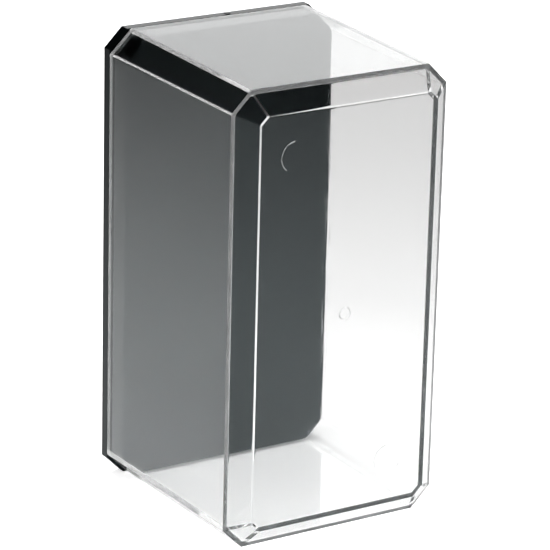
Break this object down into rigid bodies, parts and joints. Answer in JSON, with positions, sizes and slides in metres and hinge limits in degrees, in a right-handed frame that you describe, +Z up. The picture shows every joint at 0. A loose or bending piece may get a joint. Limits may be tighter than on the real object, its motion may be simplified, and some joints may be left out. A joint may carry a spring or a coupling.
{
  "type": "napkin dispenser",
  "caption": "Upright clear plastic case with chamfered corners on a black back plate; the cover pulls off forward to load or take out a stack of folded napkins.",
  "frame": {"origin": "bottom centre of the bounding box, on the surface that the case stands on", "axes": "+Z up along the long side, the clear front faces -Y, +X to the viewer's right"},
  "size_m": [0.1034, 0.1094, 0.1956],
  "materials": {
    "black_styrene": "black, moulded, gloss",
    "clear_styrene": "water-clear, moulded, polished"
  },
  "bodies": {
    "plate": {"back_plate": "black_styrene"},
    "cover": {"clear_cover": "clear_styrene"}
  },
  "joints": [
    {"name": "cover_pull_off", "type": "slide", "parent": "plate", "child": "cover", "axis": [0, -1, 0], "range_m": [0, 0.12]}
  ]
}
